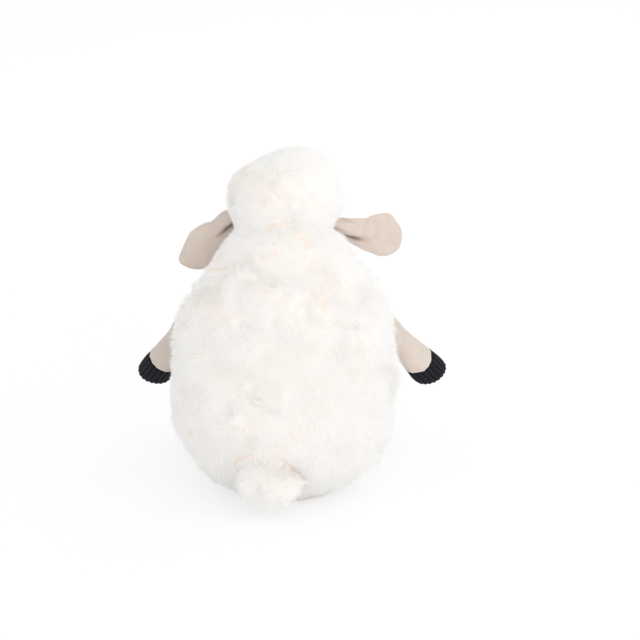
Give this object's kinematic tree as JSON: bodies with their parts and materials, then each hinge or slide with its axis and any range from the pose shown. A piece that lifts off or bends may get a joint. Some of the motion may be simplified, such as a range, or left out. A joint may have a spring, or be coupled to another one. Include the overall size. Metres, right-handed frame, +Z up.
{
  "type": "plush sheep",
  "caption": "Sitting plush sheep with an egg-shaped pile fur body, velour limbs and ears that move at their seams, and corduroy hooves.",
  "frame": {"origin": "middle of the flat seat panel, on the surface that the sheep sits on", "axes": "+Z up through the head, -Y where the sheep faces, +X its left side"},
  "size_m": [0.2611, 0.2556, 0.2985],
  "materials": {
    "pile_fur": "off-white loose pile fur, matte",
    "velour": "beige short-nap velour, soft sheen",
    "corduroy": "black wide-wale corduroy",
    "stuffing": "white fibre filling",
    "pellet_cloth": "plain woven pouch",
    "thread": "dark brown satin-stitched thread",
    "eye_plastic": "glossy black",
    "washer_plastic": "white, matte"
  },
  "bodies": {
    "torso": {"body_back_left": "pile_fur", "body_back_right": "pile_fur", "body_belly": "pile_fur", "body_seat": "velour", "body_stuffing": "stuffing", "pellet_bag": "pellet_cloth"},
    "head": {"head_fur_left": "pile_fur", "head_fur_right": "pile_fur", "face_panel": "velour", "head_stuffing": "stuffing", "eye_left": "eye_plastic", "eye_right": "eye_plastic", "eye_washer_left": "washer_plastic", "eye_washer_right": "washer_plastic", "nose_stitching": "thread", "mouth_stitching": "thread"},
    "ear_left": {"ear_left_back": "velour", "ear_left_front": "velour"},
    "ear_right": {"ear_right_back": "velour", "ear_right_front": "velour"},
    "arm_left": {"arm_left_sleeve": "velour", "arm_left_hoof": "corduroy", "arm_left_stuffing": "stuffing"},
    "arm_right": {"arm_right_sleeve": "velour", "arm_right_hoof": "corduroy", "arm_right_stuffing": "stuffing"},
    "leg_left": {"leg_left_sleeve": "velour", "leg_left_hoof": "corduroy", "leg_left_stuffing": "stuffing"},
    "leg_right": {"leg_right_sleeve": "velour", "leg_right_hoof": "corduroy", "leg_right_stuffing": "stuffing"},
    "tail": {"tail_cover": "pile_fur", "tail_stuffing": "stuffing"}
  },
  "joints": [
    {"name": "head_nod", "type": "hinge", "parent": "torso", "child": "head", "pos_m": [0, -0.005, 0.215], "axis": [1, 0, 0], "range_deg": [-12, 10], "stiffness_Nm_per_rad": 0.3},
    {"name": "ear_left_flap", "type": "hinge", "parent": "head", "child": "ear_left", "pos_m": [0.04531, -0.042, 0.2314], "axis": [0, -1, 0], "range_deg": [-5, 60], "stiffness_Nm_per_rad": 0.015},
    {"name": "ear_right_flap", "type": "hinge", "parent": "head", "child": "ear_right", "pos_m": [-0.04041, -0.042, 0.225], "axis": [0, 1, 0], "range_deg": [-22, 12], "stiffness_Nm_per_rad": 0.015},
    {"name": "arm_left_lift", "type": "hinge", "parent": "torso", "child": "arm_left", "pos_m": [0.08087, -0.04469, 0.1374], "axis": [-0.7431, -0.6691, 0], "range_deg": [-8, 75], "stiffness_Nm_per_rad": 0.03},
    {"name": "arm_right_lift", "type": "hinge", "parent": "torso", "child": "arm_right", "pos_m": [-0.08087, -0.04469, 0.1374], "axis": [-0.5189, 0.8548, 0], "range_deg": [-8, 75], "stiffness_Nm_per_rad": 0.03},
    {"name": "leg_left_spread", "type": "hinge", "parent": "torso", "child": "leg_left", "pos_m": [0.04451, -0.06446, 0.0188], "axis": [0, 0, 1], "range_deg": [-15, 38], "stiffness_Nm_per_rad": 0.04},
    {"name": "leg_right_spread", "type": "hinge", "parent": "torso", "child": "leg_right", "pos_m": [-0.04451, -0.06446, 0.0188], "axis": [0, 0, -1], "range_deg": [-15, 38], "stiffness_Nm_per_rad": 0.04},
    {"name": "tail_wag", "type": "hinge", "parent": "torso", "child": "tail", "pos_m": [0.01121, 0.07657, 0.03207], "axis": [0, 0, 1], "range_deg": [-15, 15], "stiffness_Nm_per_rad": 0.02}
  ]
}
